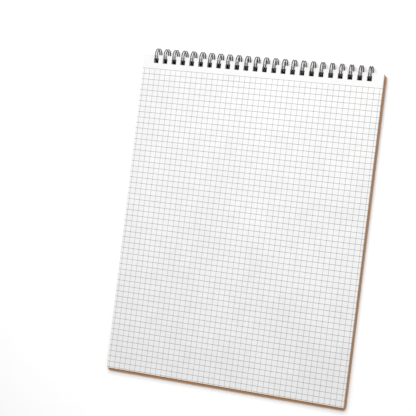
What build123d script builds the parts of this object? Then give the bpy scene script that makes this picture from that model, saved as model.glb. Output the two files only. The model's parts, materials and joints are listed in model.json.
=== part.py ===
"""Twin-wire sketchbook of squared paper, lying open at its first page with the cover folded behind.

Frame: +Z up, +Y towards the binding, +X to the right of the page. The origin is under the middle of
the whole book, on the surface it lies on. Sizes in millimetres.

Every leaf is drawn flat in a plane through the middle line of the wire loops, which is the line that
all leaves turn about. The book lies on its lowest loops and on the far edge of its cover, so these
planes slope down a little towards the far edge.
"""
import os
from math import asin, atan, atan2, cos, degrees, hypot, radians, sin

from build123d import *

# Leaves
SHEET_WIDTH = 219.0
SHEET_LENGTH = 288.5
SHEET_COUNT = 30
SHEET_THICKNESS = 0.17
SHEET_GAP = 0.015  # air between two sheets
BOARD_OVERHANG = 1.3  # boards beyond the sheets on the left and right
BOARD_DROP = 3.5  # boards beyond the sheets at the far edge
BACK_THICKNESS = 1.5
COVER_THICKNESS = 1.0
BOARD_GAP = 0.02  # air between the cover and the back board
CORNER_RADIUS = 3.0  # corners of the boards
EDGE_GAP = 0.1  # middle line to the leaves' bound edge

# Holes, and the room that the wire has in them
LOOP_PITCH = 25.4 / 3  # three loops to the inch
SIDE_MARGIN = 12.0  # least distance from a sheet's side to the middle of its first hole
HOLE_SIZE = 4.4
FAR_CLEARANCE = 0.8  # loop to the wall of the hole away from the bound edge
NEAR_CLEARANCE = 0.2  # loop to the wall near the bound edge, at the outermost leaves
SIDE_CLEARANCE = 0.75  # loop to the hole's side walls

# Wire
WIRE_DIAMETER = 1.0
LEG_BEND = 0.8  # from a loop into the straight link beside it
LINK_CLEARANCE = 0.075  # links to the leaves above and below them
TIP_ANGLE = 177.0  # where a loop's tip starts to turn, measured from +Y over the top of the loop

# The stack of leaves, and the level of each underside from the middle line
SHEET_PITCH = SHEET_THICKNESS + SHEET_GAP
SEAM = WIRE_DIAMETER + 2 * LINK_CLEARANCE  # between the back board and the block, for the links
STACK = COVER_THICKNESS + BOARD_GAP + BACK_THICKNESS + SEAM + SHEET_COUNT * SHEET_PITCH
COVER_LEVEL = -STACK / 2
BACK_LEVEL = COVER_LEVEL + COVER_THICKNESS + BOARD_GAP
BLOCK_LEVEL = BACK_LEVEL + BACK_THICKNESS + SEAM

# The smallest loops that run through the holes of the outermost leaves
play = HOLE_SIZE - WIRE_DIAMETER - FAR_CLEARANCE - NEAR_CLEARANCE
HOLE_START = ((STACK / 2) ** 2 - play**2) / (2 * play) - NEAR_CLEARANCE
LOOP_OUTER = HOLE_START + HOLE_SIZE - FAR_CLEARANCE
LOOP_RADIUS = LOOP_OUTER - WIRE_DIAMETER / 2
PAIR_SPACING = HOLE_SIZE - 2 * SIDE_CLEARANCE - WIRE_DIAMETER
LOOP_COUNT = int((SHEET_WIDTH - 2 * SIDE_MARGIN) / LOOP_PITCH) + 1

# Slopes: the cover's far lower edge comes down to the level of the loops' lowest points, and the
# block of sheets comes down on the board at its own far edge
BOARD_WIDTH = SHEET_WIDTH + 2 * BOARD_OVERHANG
BOARD_LENGTH = SHEET_LENGTH + BOARD_DROP
board_reach = EDGE_GAP + BOARD_LENGTH
board_slope = asin(LOOP_OUTER / hypot(board_reach, COVER_LEVEL)) - atan(-COVER_LEVEL / board_reach)
sheet_slope = board_slope + atan((SEAM - SHEET_GAP) / (EDGE_GAP + SHEET_LENGTH))

# Middle line of the loops, which puts the book's box over the origin
far_edge = board_reach * cos(board_slope) - (BACK_LEVEL + BACK_THICKNESS) * sin(board_slope)
AXIS_Y = (far_edge - LOOP_OUTER) / 2
AXIS_Z = LOOP_OUTER


def leaf_plane(slope, level):
    """The plane of a leaf's underside, sloping down towards -Y, at a level from the middle line."""
    plane = Plane(origin=(0, AXIS_Y, AXIS_Z), x_dir=(1, 0, 0), z_dir=(0, -sin(slope), cos(slope)))
    return plane.offset(level)


def leaf(label, plane, width, length, thickness, corner_radius=0):
    """One flat leaf with its row of square holes."""
    with BuildPart() as made:
        with BuildSketch(plane) as outline:
            with Locations((0, -EDGE_GAP - length / 2)):
                Rectangle(width, length)
            if corner_radius:
                fillet(outline.vertices(), corner_radius)
            with Locations((0, -HOLE_START - HOLE_SIZE / 2)):
                with GridLocations(LOOP_PITCH, 0, LOOP_COUNT, 1):
                    Rectangle(HOLE_SIZE, HOLE_SIZE, mode=Mode.SUBTRACT)
        extrude(amount=thickness)
    made.part.label = label
    return made


# Binding wire. Angles run round the middle line from +Y, upwards positive, in degrees.
link_drop = SEAM / 2 - BLOCK_LEVEL + LOOP_RADIUS * sin((board_slope + sheet_slope) / 2)
link_angle = -180 + degrees(asin(link_drop / hypot(LOOP_RADIUS, LEG_BEND)))
leg_angle = link_angle + degrees(atan2(LEG_BEND, LOOP_RADIUS))
leg_x = PAIR_SPACING / 2
link_x = leg_x + LEG_BEND


def spoke(angle):
    """Direction from the middle line out to the loop."""
    return Vector(0, cos(radians(angle)), sin(radians(angle)))


def course(angle):
    """Direction along the loop, towards larger angles."""
    return Vector(0, -sin(radians(angle)), cos(radians(angle)))


def on_loop(x, angle):
    """A point of the wire's middle, with the loop round the X axis."""
    return Vector(x, 0, 0) + spoke(angle) * LOOP_RADIUS


with BuildPart() as loop:
    for side in (-1, 1):
        # round the back, from the leg in the boards' holes to the tip in the sheets' holes
        with BuildSketch(Plane(on_loop(side * leg_x, leg_angle), z_dir=course(leg_angle))):
            Circle(WIRE_DIAMETER / 2)
        revolve(axis=Axis.X, revolution_arc=TIP_ANGLE - leg_angle)
        # the leg's bend into the link
        bend_middle = on_loop(side * link_x, leg_angle)
        with BuildSketch(Plane(on_loop(side * leg_x, leg_angle), z_dir=-course(leg_angle))):
            Circle(WIRE_DIAMETER / 2)
        revolve(axis=Axis(bend_middle, spoke(leg_angle) * -side), revolution_arc=90)
        # half of the link to the next loop
        link_start = bend_middle - course(leg_angle) * LEG_BEND
        with BuildSketch(Plane(link_start, z_dir=(side, 0, 0))):
            Circle(WIRE_DIAMETER / 2)
        extrude(amount=LOOP_PITCH / 2 - link_x)
    # the tip that joins the loop's two wires
    with BuildSketch(Plane(on_loop(-leg_x, TIP_ANGLE), z_dir=course(TIP_ANGLE))):
        Circle(WIRE_DIAMETER / 2)
    revolve(axis=Axis(on_loop(0, TIP_ANGLE), spoke(TIP_ANGLE)), revolution_arc=180)

with BuildPart() as binding_wire:
    with Locations((0, AXIS_Y, AXIS_Z)):
        with GridLocations(LOOP_PITCH, 0, LOOP_COUNT, 1):
            add(loop.part)
binding_wire.part.label = "binding_wire"

# Boards
front_cover = leaf(
    "front_cover",
    leaf_plane(board_slope, COVER_LEVEL),
    BOARD_WIDTH,
    BOARD_LENGTH,
    COVER_THICKNESS,
    CORNER_RADIUS,
)
back_board = leaf(
    "back_board",
    leaf_plane(board_slope, BACK_LEVEL),
    BOARD_WIDTH,
    BOARD_LENGTH,
    BACK_THICKNESS,
    CORNER_RADIUS,
)

# Sheets, numbered from the top one down
sheets = [
    leaf(
        f"sheet_{number:02d}",
        leaf_plane(sheet_slope, BLOCK_LEVEL + (SHEET_COUNT - number) * SHEET_PITCH),
        SHEET_WIDTH,
        SHEET_LENGTH,
        SHEET_THICKNESS,
    )
    for number in range(1, SHEET_COUNT + 1)
]

os.makedirs("parts", exist_ok=True)
for piece in [binding_wire, front_cover, back_board, *sheets]:
    export_step(piece.part, f"parts/{piece.part.label}.step")

print("loops:", LOOP_COUNT, "of radius", round(LOOP_RADIUS, 4), "at", round(AXIS_Y, 4), round(AXIS_Z, 4))
print("slopes:", round(degrees(board_slope), 4), round(degrees(sheet_slope), 4))
print("levels:", round(COVER_LEVEL, 4), round(BACK_LEVEL, 4), round(BLOCK_LEVEL, 4))
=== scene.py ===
"""Looks of the wire-bound sketchbook of squared paper. Lengths are in metres unless a name says mm."""
import json
import math
import random

import bmesh
import bpy
from mathutils import Matrix, Vector


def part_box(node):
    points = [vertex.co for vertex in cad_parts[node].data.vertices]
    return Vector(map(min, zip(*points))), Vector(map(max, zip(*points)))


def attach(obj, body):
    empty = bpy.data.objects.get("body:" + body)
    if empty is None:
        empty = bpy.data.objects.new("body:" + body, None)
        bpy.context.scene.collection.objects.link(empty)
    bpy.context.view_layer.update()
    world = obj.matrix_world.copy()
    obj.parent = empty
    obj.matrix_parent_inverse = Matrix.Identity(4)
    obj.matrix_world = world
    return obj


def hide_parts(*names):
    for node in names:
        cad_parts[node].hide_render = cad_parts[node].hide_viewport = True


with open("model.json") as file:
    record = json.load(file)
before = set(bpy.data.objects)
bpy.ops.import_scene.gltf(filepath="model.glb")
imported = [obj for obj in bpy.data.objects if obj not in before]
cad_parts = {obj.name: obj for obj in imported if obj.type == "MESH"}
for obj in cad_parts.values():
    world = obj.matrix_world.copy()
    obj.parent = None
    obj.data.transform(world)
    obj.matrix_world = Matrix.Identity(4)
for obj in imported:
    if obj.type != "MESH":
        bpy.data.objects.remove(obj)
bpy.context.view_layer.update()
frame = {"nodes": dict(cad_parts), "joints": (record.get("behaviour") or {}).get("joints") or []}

MM = 0.001
LOOP_LINE = Vector(frame["joints"][0]["pos_m"])  # the middle line of the loops, which leaves turn about

# Wire, as it was bent
WIRE_DIAMETER = 1.0 * MM
SIDE_CLEARANCE = 0.75 * MM  # loop to the hole's side walls
LEG_BEND = 0.8 * MM  # radius from a loop into the link beside it
ARC_STEPS, BEND_STEPS, TIP_STEPS = 52, 5, 12  # points along each bent stretch
TIP_ANGLE = 177.0  # where a loop's tip starts to turn, in degrees
TIP_SCATTER = 1.2  # how unevenly the tips were pressed shut, in degrees

# Print on the sheets, in mm
SQUARE = 5.0
LINE_WIDTH = 0.29
UPRIGHT_WIDTH = 0.21  # the lines along the page are finer than those across it
FIRST_LINE = 12.7  # from the loops' middle line to the topmost printed line

# Boards
CORNER_RADIUS = 3.0 * MM
SOFT_EDGE = 0.12 * MM  # rounding of the die-cut edges

# How the block lies
JOG = 0.08 * MM  # sideways scatter of the sheets
CURL_RIGHT = 0.9 * MM  # lift of the top sheet's far corners
CURL_LEFT = 0.5 * MM
CURL_REACH = 75 * MM

# Camera: it looks down on the page from a little to its right
VIEW_TARGET = Vector((-34.86, 10.2, 0)) * MM
VIEW_DISTANCE = 952.5 * MM
VIEW_TILT = 16.12  # from straight down, in degrees
VIEW_SIDE = 0.67  # direction of the tilt, from +X, in degrees
VIEW_ROLL = 6.40
VIEW_LENS = 91.2  # focal length in mm on the camera's 36 mm sensor

# Lights: place in metres, side of the square in metres, power in watts
KEY_LIGHT = ((0.0, 0.21, 0.58), 0.35, 2.90)
FILL_LIGHT = ((-0.10, -0.90, 0.70), 0.50, 0.5)
SURROUND = 0.60

rng = random.Random(24)


# --- Shaders -------------------------------------------------------------------------------------


class Shader:
    """A procedural material. Its methods add nodes and return their output sockets."""

    def __init__(self, name, colour, roughness, **uniform):
        self.material = bpy.data.materials.new(name)
        self.material.use_nodes = True
        self.tree = self.material.node_tree
        self.bsdf = self.tree.nodes["Principled BSDF"]
        self.bsdf.inputs["Base Color"].default_value = (*colour, 1)
        self.bsdf.inputs["Roughness"].default_value = roughness
        for socket, value in uniform.items():
            self.bsdf.inputs[socket.replace("_", " ")].default_value = value
        self.place = self.add("ShaderNodeTexCoord").outputs["Object"]

    def add(self, kind, inputs=(), **settings):
        """A node with its settings; inputs is a list of (socket, value or other node's socket)."""
        node = self.tree.nodes.new(kind)
        for key, value in settings.items():
            setattr(node, key, value)
        for socket, value in inputs:
            if isinstance(value, bpy.types.NodeSocket):
                self.tree.links.new(value, node.inputs[socket])
            else:
                node.inputs[socket].default_value = value
        return node

    def math(self, operation, a, b=0.0):
        return self.add("ShaderNodeMath", [(0, a), (1, b)], operation=operation).outputs[0]

    def axis(self, letter):
        """One coordinate of the surface point, in millimetres."""
        split = self.add("ShaderNodeSeparateXYZ", [(0, self.place)]).outputs[letter]
        return self.math("MULTIPLY", split, 1 / MM)

    def stretched(self, x, y, z, turn=0.0):
        """Coordinates scaled along each axis, to draw out a pattern."""
        mapping = [(0, self.place), ("Scale", (x, y, z)), ("Rotation", (0, 0, turn))]
        return self.add("ShaderNodeMapping", mapping).outputs[0]

    def noise(self, size_mm, detail=3.0, where=None, rough=0.5):
        inputs = [
            ("Vector", where or self.place),
            ("Scale", 1 / (size_mm * MM)),
            ("Detail", detail),
            ("Roughness", rough),
        ]
        return self.add("ShaderNodeTexNoise", inputs).outputs["Fac"]

    def ramp(self, value, low, high, to_low=0.0, to_high=1.0):
        inputs = [(0, value), (1, low), (2, high), (3, to_low), (4, to_high)]
        return self.add("ShaderNodeMapRange", inputs).outputs[0]

    def mix(self, factor, a, b, blend_type="MIX"):
        node = self.add("ShaderNodeMix", data_type="RGBA", blend_type=blend_type)
        for index, value in ((0, factor), (6, a), (7, b)):
            if isinstance(value, bpy.types.NodeSocket):
                self.tree.links.new(value, node.inputs[index])
            else:
                node.inputs[index].default_value = value if index == 0 else (*value, 1)
        return node.outputs[2]

    def darker(self, colour, factor):
        return self.mix(1.0, colour, (factor, factor, factor), "MULTIPLY")

    def set(self, socket, value):
        self.tree.links.new(value, self.bsdf.inputs[socket])

    def bump(self, height, depth_mm, strength=1.0):
        inputs = [("Height", height), ("Distance", depth_mm * MM), ("Strength", strength)]
        self.set("Normal", self.add("ShaderNodeBump", inputs).outputs[0])


PAPER = (0.73, 0.73, 0.725)
# darker paper, for the paper's own fine cloudiness and for broad painted shade
PAPER_SHADY = (0.69, 0.69, 0.69)
INK = (0.085, 0.09, 0.105)
KRAFT = (0.42, 0.186, 0.072)
KRAFT_SHADY = (0.37, 0.158, 0.058)
KRAFT_DARK = (0.20, 0.080, 0.028)
KRAFT_LIGHT = (0.52, 0.27, 0.125)
# lighter kraft for the rim: rubbed wear, and painted light on the lip where the block's shadow falls
KRAFT_WORN_AND_LIT = (0.60, 0.335, 0.165)
KRAFT_CUT = (0.32, 0.14, 0.055)
WIRE_DARK = (0.09, 0.09, 0.095)
WIRE_RUBBED = (0.20, 0.20, 0.21)


def paper_shader():
    """Cartridge paper with a printed grid of 5 mm squares, a slight tooth, its own fine cloudiness and
    broad patches of painted shade, as of a page that does not lie quite flat.
    """
    shader = Shader("squared_paper", PAPER, 0.82, Specular_IOR_Level=0.25)
    # the 9 mm noise is the paper's own cloudiness; the 70 mm noise is painted shade, as of a page lying
    # unevenly under the light
    cloud = shader.math("ADD", shader.noise(9.0, 4.0), shader.noise(70.0, 3.0))
    sheet = shader.mix(shader.ramp(cloud, 0.75, 1.25), PAPER_SHADY, PAPER)
    middle = shader.math("ADD", shader.axis("X"), SQUARE / 2)
    across = shader.math("PINGPONG", middle, SQUARE / 2)
    below = shader.math("SUBTRACT", -FIRST_LINE, shader.axis("Y"))
    down = shader.math("PINGPONG", below, SQUARE / 2)
    soft = 0.04
    lines = []
    for nearest, half in ((across, UPRIGHT_WIDTH / 2), (down, LINE_WIDTH / 2)):
        lines.append(shader.ramp(nearest, half - soft, half + soft, 1.0, 0.0))
    line = shader.math("MAXIMUM", *lines)
    printed = shader.ramp(below, -LINE_WIDTH / 2, -LINE_WIDTH / 2 + soft)
    wear = shader.ramp(shader.noise(0.8, 2.0), 0.3, 0.6, 0.85, 1.0)
    ink = shader.math("MULTIPLY", shader.math("MULTIPLY", line, printed), wear)
    shader.set("Base Color", shader.mix(ink, sheet, INK))
    tooth = shader.math("ADD", shader.noise(0.35, 4.0), shader.noise(2.5, 2.0))
    shader.bump(tooth, 0.02, 0.5)
    return shader.material


def cut_paper_shader():
    """Trimmed edges of the sheets, some standing back in the shade of their neighbours."""
    shader = Shader("cut_paper", (0.40, 0.40, 0.395), 0.9, Specular_IOR_Level=0.2)
    layers = shader.noise(1.0, 3.0, shader.stretched(0.03, 0.03, 3.0), 0.7)
    shade = shader.ramp(layers, 0.38, 0.62)
    shader.set("Base Color", shader.mix(shade, (0.30, 0.30, 0.30), (0.64, 0.64, 0.63)))
    return shader.material


def punched_paper_shader():
    """Walls of the punched holes, painted near black for the shade deep inside the holes."""
    shader = Shader("punched_paper", (0.03, 0.03, 0.03), 0.95, Specular_IOR_Level=0.1)
    shade = shader.ramp(shader.noise(0.6, 3.0), 0.35, 0.65)
    shader.set("Base Color", shader.mix(shade, (0.015, 0.015, 0.016), (0.045, 0.045, 0.045)))
    return shader.material


def kraft_shader(outline):
    """Unbleached kraft board: clouded brown with fine fibres and darker and lighter flecks, lighter
    along its rim, partly from rubbing and partly with painted light on the lip beside the block."""
    shader = Shader("kraft_board", KRAFT, 0.86, Specular_IOR_Level=0.3)
    cloud = shader.ramp(shader.noise(26.0, 5.0, rough=0.6), 0.3, 0.7)
    base = shader.mix(cloud, KRAFT_SHADY, KRAFT)
    fibres = []
    for turn, size in ((0.12, 0.9), (-0.35, 1.1), (1.2, 1.0)):
        fibres.append(shader.noise(size, 4.0, shader.stretched(0.22, 1.6, 1.0, turn), 0.6))
    web = shader.math("MULTIPLY", fibres[0], fibres[1])
    base = shader.mix(shader.ramp(web, 0.16, 0.36), shader.darker(base, 0.80), base)
    light = shader.ramp(fibres[2], 0.60, 0.72, 0.0, 0.55)
    base = shader.mix(light, base, KRAFT_LIGHT)
    fleck = shader.ramp(shader.noise(1.6, 2.0, shader.stretched(1.0, 0.5, 1.0, 0.6)), 0.70, 0.76)
    base = shader.mix(shader.math("MULTIPLY", fleck, 0.6), base, KRAFT_DARK)
    # a band about 2.5 mm wide inside the outline: rubbed wear, and painted light on the lip beside the
    # block
    beside = shader.math("SUBTRACT", outline.right / MM, shader.math("ABSOLUTE", shader.axis("X")))
    beyond = shader.math("SUBTRACT", shader.axis("Y"), outline.far / MM)
    uneven = shader.math("MULTIPLY", shader.noise(5.0, 4.0), 4.0)
    rim = shader.math("SUBTRACT", shader.math("MINIMUM", beside, beyond), uneven)
    base = shader.mix(shader.ramp(rim, -1.0, 2.5, 0.75, 0.0), base, KRAFT_WORN_AND_LIT)
    shader.set("Base Color", base)
    relief = shader.math("ADD", fibres[0], shader.noise(0.25, 3.0))
    shader.bump(relief, 0.03, 0.6)
    return shader.material


def cut_kraft_shader():
    """Die-cut edges of the boards: plies pressed into fine dark and light layers."""
    shader = Shader("cut_kraft", KRAFT, 0.92, Specular_IOR_Level=0.2)
    plies = shader.noise(0.8, 3.0, shader.stretched(0.25, 0.25, 4.0), 0.6)
    speckle = shader.noise(0.22, 3.0)
    grain = shader.ramp(shader.math("ADD", plies, speckle), 0.75, 1.25)
    shader.set("Base Color", shader.mix(grain, KRAFT_CUT, KRAFT_LIGHT))
    shader.bump(shader.math("ADD", plies, speckle), 0.06, 0.7)
    return shader.material


def punched_kraft_shader():
    """Walls of the boards' holes, painted near black for the shade inside the holes."""
    shader = Shader("punched_kraft", (0.03, 0.02, 0.012), 0.95, Specular_IOR_Level=0.1)
    shade = shader.ramp(shader.noise(0.6, 3.0), 0.35, 0.65)
    shader.set("Base Color", shader.mix(shade, (0.012, 0.008, 0.005), (0.045, 0.028, 0.016)))
    return shader.material


def wire_shader():
    """Dark satin steel wire, drawn and lightly rubbed."""
    shader = Shader("steel_wire", (0.13, 0.13, 0.135), 0.26, Metallic=1.0)
    rub = shader.ramp(shader.noise(1.8, 4.0), 0.35, 0.7)
    shader.set("Base Color", shader.mix(rub, WIRE_DARK, WIRE_RUBBED))
    shader.set("Roughness", shader.ramp(shader.noise(0.7, 3.0), 0.3, 0.7, 0.22, 0.38))
    shader.bump(shader.noise(0.3, 2.0), 0.01, 0.3)
    return shader.material


def floor_shader():
    shader = Shader("studio_floor", (0.94, 0.94, 0.94), 0.8, Specular_IOR_Level=0.1)
    shade = shader.ramp(shader.noise(400.0, 2.0), 0.3, 0.7)
    shader.set("Base Color", shader.mix(shade, (0.93, 0.93, 0.93), (0.95, 0.95, 0.95)))
    return shader.material


# --- Leaves --------------------------------------------------------------------------------------


class Leaf:
    """What a leaf's CAD node says, in the leaf's own plane: u along the binding, v away from the far
    edge towards it, and w up, all from the middle line of the loops."""

    def __init__(self, node):
        mesh = frame["nodes"][node].data
        face = max(mesh.polygons, key=lambda p: p.area)
        up = face.normal if face.normal.z > 0 else -face.normal
        self.slope = math.atan2(-up.y, up.z)
        self.matrix = Matrix.Translation(LOOP_LINE) @ Matrix.Rotation(self.slope, 4, "X")
        inside = self.matrix.inverted()
        points = [inside @ vertex.co for vertex in mesh.vertices]
        self.left, self.right = min(p.x for p in points), max(p.x for p in points)
        self.far, self.near = min(p.y for p in points), max(p.y for p in points)
        self.low, self.high = min(p.z for p in points), max(p.z for p in points)
        # the holes' walls are the corners inside the outline; they lie close to the bound edge
        rim, bound_rim = 5 * MM, 0.5 * MM
        walls = [p for p in points if self.left + rim < p.x < self.right - rim]
        walls = [p for p in walls if self.far + rim < p.y < self.near - bound_rim]
        places = sorted({round(p.x, 5) for p in walls})
        self.holes = list(zip(places[::2], places[1::2]))
        self.hole_far, self.hole_near = min(p.y for p in walls), max(p.y for p in walls)


def spread(start, end, count):
    """The places that divide a stretch into count equal parts, without its end."""
    return [start + (end - start) * i / count for i in range(count)]


def corner_rows(end, inward, radius, steps):
    """Places along v that follow a rounded corner from the edge at end."""
    turns = [math.pi / 2 * i / steps for i in range(steps + 1)]
    return [end + inward * radius * (1 - math.cos(turn)) for turn in turns]


def plate(name, leaf, rows, radius=0.0, lift=lambda u, v: 0.0):
    """One leaf as a closed mesh with its holes. Material 0 is on its faces, 1 on its cut edges and 2
    on the walls of its holes. lift raises the point at u, v."""
    columns = sorted(
        [x for hole in leaf.holes for x in hole]
        + spread(leaf.left, leaf.holes[0][0], 3)
        + [leaf.right, *spread(leaf.holes[-1][1], leaf.right, 3)[1:]]
    )
    rows = sorted(rows)

    def inset(v):
        """How far the outline's rounded corners cut in at v."""
        depth = min(v - leaf.far, leaf.near - v)
        if depth >= radius:
            return 0.0
        return radius - math.sqrt(max(0.0, radius**2 - (radius - depth) ** 2))

    def solid(i, j):
        if not (0 <= i < len(columns) - 1 and 0 <= j < len(rows) - 1):
            return False
        u, v = (columns[i] + columns[i + 1]) / 2, (rows[j] + rows[j + 1]) / 2
        in_row = leaf.hole_far < v < leaf.hole_near
        return not (in_row and any(a < u < b for a, b in leaf.holes))

    bm = bmesh.new()
    made = {}

    def point(i, j, side):
        if (i, j, side) not in made:
            u, v = columns[i], rows[j]
            if i == 0:
                u += inset(v)
            elif i == len(columns) - 1:
                u -= inset(v)
            made[i, j, side] = bm.verts.new((u, v, (leaf.low, leaf.high)[side] + lift(u, v)))
        return made[i, j, side]

    for i in range(len(columns) - 1):
        for j in range(len(rows) - 1):
            if not solid(i, j):
                continue
            ring = [(i, j), (i + 1, j), (i + 1, j + 1), (i, j + 1)]
            bm.faces.new([point(a, b, 1) for a, b in ring])
            bm.faces.new([point(a, b, 0) for a, b in reversed(ring)])
            for side, beside in enumerate(((i, j - 1), (i + 1, j), (i, j + 1), (i - 1, j))):
                if solid(*beside):
                    continue
                (a, b), (c, d) = ring[side], ring[(side + 1) % 4]
                wall = [point(a, b, 0), point(c, d, 0), point(c, d, 1), point(a, b, 1)]
                edge = not (0 <= beside[0] < len(columns) - 1 and 0 <= beside[1] < len(rows) - 1)
                bm.faces.new(wall).material_index = 1 if edge else 2
    mesh = bpy.data.meshes.new(name)
    bm.to_mesh(mesh)
    bm.free()
    mesh.shade_smooth()
    mesh.set_sharp_from_angle(angle=math.radians(30))
    piece = bpy.data.objects.new(name, mesh)
    bpy.context.scene.collection.objects.link(piece)
    piece.matrix_world = leaf.matrix
    return piece


def finish_leaf(piece, node, body, materials):
    """Dress a leaf and put it in its node's place."""
    for material in materials:
        piece.data.materials.append(material)
    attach(piece, body)
    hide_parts(node)


def board(name, node, body):
    """A kraft board with rounded corners and edges softened by the die."""
    leaf = Leaf(node)
    rows = corner_rows(leaf.far, 1, CORNER_RADIUS, 8)
    rows += corner_rows(leaf.near, -1, CORNER_RADIUS, 8)
    rows += [leaf.hole_near, leaf.hole_far]
    rows += spread(leaf.hole_far, leaf.far + CORNER_RADIUS, 12)[1:]
    piece = plate(name, leaf, rows, CORNER_RADIUS)
    finish_leaf(piece, node, body, [kraft, cut_kraft, punched_kraft])
    bevel = piece.modifiers.new("soft_edges", "BEVEL")
    bevel.width, bevel.segments = SOFT_EDGE, 2
    bevel.limit_method, bevel.angle_limit = "ANGLE", math.radians(60)


def sheet(number, count):
    """A sheet of squared paper. The upper sheets curl a little at their far corners, each less than
    the one above it, so none touches its neighbour."""
    node = f"sheet_{number:02d}"
    leaf = Leaf(node)
    share = (1 - (number - 1) / count) ** 3

    def lift(u, v):
        rise = 0.0
        for side, most in ((leaf.left, CURL_LEFT), (leaf.right, CURL_RIGHT)):
            away = math.hypot(u - side, v - leaf.far) / CURL_REACH
            rise += most * max(0.0, 1 - away) ** 2
        return rise * share

    rows = [leaf.near, leaf.hole_near, leaf.hole_far, leaf.far]
    rows += spread(leaf.hole_far, leaf.far, 24)[1:]
    piece = plate(f"paper_{number:02d}", leaf, rows, lift=lift)
    jog = Vector((rng.uniform(-1, 1), rng.uniform(-0.5, 0.5), 0)) * JOG
    piece.matrix_world = piece.matrix_world @ Matrix.Translation(jog)
    finish_leaf(piece, node, node, [paper, cut_paper, punched_paper])


# --- Binding wire --------------------------------------------------------------------------------


def wire_route(loop_places, radius, leg_x, link_drop):
    """The wire's middle line: through the links and round both sides of each loop, from end to end.
    Angles run round the loops' middle line from +Y, upwards positive."""
    link_angle = -math.pi + math.asin(link_drop / math.hypot(radius, LEG_BEND))
    leg_angle = link_angle + math.atan2(LEG_BEND, radius)
    pitch = loop_places[1] - loop_places[0]
    along = Vector((1, 0, 0))

    def spoke(angle):
        return Vector((0, math.cos(angle), math.sin(angle)))

    def course(angle):
        return Vector((0, -math.sin(angle), math.cos(angle)))

    def turn(start, end, count):
        return [start + (end - start) * i / count for i in range(count + 1)]

    quarter = turn(0, math.pi / 2, BEND_STEPS)
    first_bend = LOOP_LINE + spoke(leg_angle) * radius - course(leg_angle) * LEG_BEND
    route = [first_bend + along * (loop_places[0] - pitch / 2)]
    for place in loop_places:
        tip_angle = math.radians(TIP_ANGLE + rng.uniform(-TIP_SCATTER, TIP_SCATTER))
        for side, bends, arc in (
            (-1, quarter, turn(leg_angle, tip_angle, ARC_STEPS)),
            (1, reversed(quarter), turn(tip_angle, leg_angle, ARC_STEPS)),
        ):
            leg = along * (place + side * leg_x)
            middle = LOOP_LINE + leg + along * side * LEG_BEND + spoke(leg_angle) * radius
            corner = [
                middle + (-course(leg_angle) * math.cos(t) - along * side * math.sin(t)) * LEG_BEND
                for t in bends
            ]
            ring = [LOOP_LINE + leg + spoke(angle) * radius for angle in arc]
            if side < 0:
                route += corner + ring[1:]
                middle = LOOP_LINE + along * place + spoke(tip_angle) * radius
                route += [
                    middle + (-along * math.cos(t) + course(tip_angle) * math.sin(t)) * leg_x
                    for t in turn(0, math.pi, TIP_STEPS)[1:-1]
                ]
            else:
                route += ring + corner[1:]
    route.append(first_bend + along * (loop_places[-1] + pitch / 2))
    return route


def binding_wire():
    """The one length of wire through all the leaves."""
    top, bottom, under = Leaf("sheet_01"), Leaf("sheet_30"), Leaf("back_board")
    low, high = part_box("binding_wire")
    radius = (high.z - low.z - WIRE_DIAMETER) / 2
    places = [(a + b) / 2 for a, b in top.holes]
    leg_x = (top.holes[0][1] - top.holes[0][0] - WIRE_DIAMETER) / 2 - SIDE_CLEARANCE
    seam = (bottom.low + under.high) / 2
    link_drop = -seam + radius * math.sin((bottom.slope + under.slope) / 2)
    route = wire_route(places, radius, leg_x, link_drop)
    curve = bpy.data.curves.new("twin_loop_wire", "CURVE")
    curve.dimensions = "3D"
    curve.bevel_depth = WIRE_DIAMETER / 2
    curve.bevel_resolution = 4
    curve.use_fill_caps = True
    spline = curve.splines.new("POLY")
    spline.points.add(len(route) - 1)
    for knot, place in zip(spline.points, route):
        knot.co = (*place, 1)
    spline.use_smooth = True
    piece = bpy.data.objects.new("twin_loop_wire", curve)
    bpy.context.scene.collection.objects.link(piece)
    curve.materials.append(wire)
    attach(piece, "root")
    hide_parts("binding_wire")


# --- Studio --------------------------------------------------------------------------------------


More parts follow.
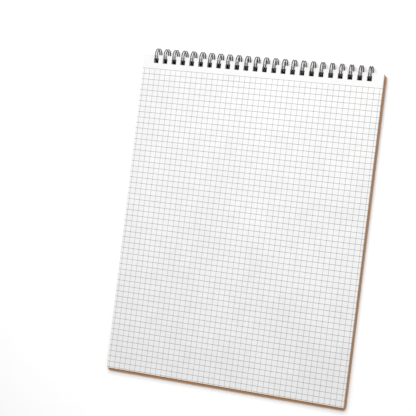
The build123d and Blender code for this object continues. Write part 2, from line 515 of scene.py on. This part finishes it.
def studio():
    """A pale floor, a soft key light beyond the binding, a weak fill and an even pale surround."""
    mesh = bpy.data.meshes.new("floor")
    reach, under = 4.0, -0.05 * MM
    corners = [(-reach, -reach, under), (reach, -reach, under), (reach, reach, under)]
    mesh.from_pydata([*corners, (-reach, reach, under)], [], [(0, 1, 2, 3)])
    mesh.materials.append(floor_shader())
    floor = bpy.data.objects.new("floor", mesh)
    bpy.context.scene.collection.objects.link(floor)

    for name, (place, size, power) in (("key", KEY_LIGHT), ("fill", FILL_LIGHT)):
        light = bpy.data.lights.new(name, "AREA")
        light.shape, light.size, light.energy = "SQUARE", size, power
        lamp = bpy.data.objects.new(name, light)
        lamp.location = place
        lamp.rotation_euler = (-Vector(place)).to_track_quat("-Z", "Y").to_euler()
        bpy.context.scene.collection.objects.link(lamp)

    world = bpy.data.worlds.new("surround")
    world.use_nodes = True
    surround = world.node_tree.nodes["Background"]
    surround.inputs["Color"].default_value = (1.0, 1.0, 1.0, 1)
    surround.inputs["Strength"].default_value = SURROUND
    bpy.context.scene.world = world
    bpy.context.scene.view_settings.view_transform = "Standard"


def camera():
    lens = bpy.data.cameras.new("camera")
    lens.sensor_width, lens.lens = 36.0, VIEW_LENS
    eye = bpy.data.objects.new("camera", lens)
    turned = (
        Matrix.Rotation(math.radians(VIEW_SIDE), 4, "Z")
        @ Matrix.Rotation(math.radians(VIEW_TILT), 4, "Y")
        @ Matrix.Rotation(math.radians(VIEW_ROLL), 4, "Z")
    )
    eye.matrix_world = Matrix.Translation(VIEW_TARGET) @ turned @ Matrix.Translation(
        (0, 0, VIEW_DISTANCE)
    )
    bpy.context.scene.collection.objects.link(eye)
    bpy.context.scene.camera = eye


studio()
camera()

kraft = kraft_shader(Leaf("back_board"))
cut_kraft, punched_kraft = cut_kraft_shader(), punched_kraft_shader()
paper, cut_paper, punched_paper = paper_shader(), cut_paper_shader(), punched_paper_shader()
wire = wire_shader()

board("kraft_cover", "front_cover", "front_cover")
board("kraft_back", "back_board", "root")
sheet_count = sum(name.startswith("sheet_") for name in frame["nodes"])
for number in range(1, sheet_count + 1):
    sheet(number, sheet_count)
binding_wire()
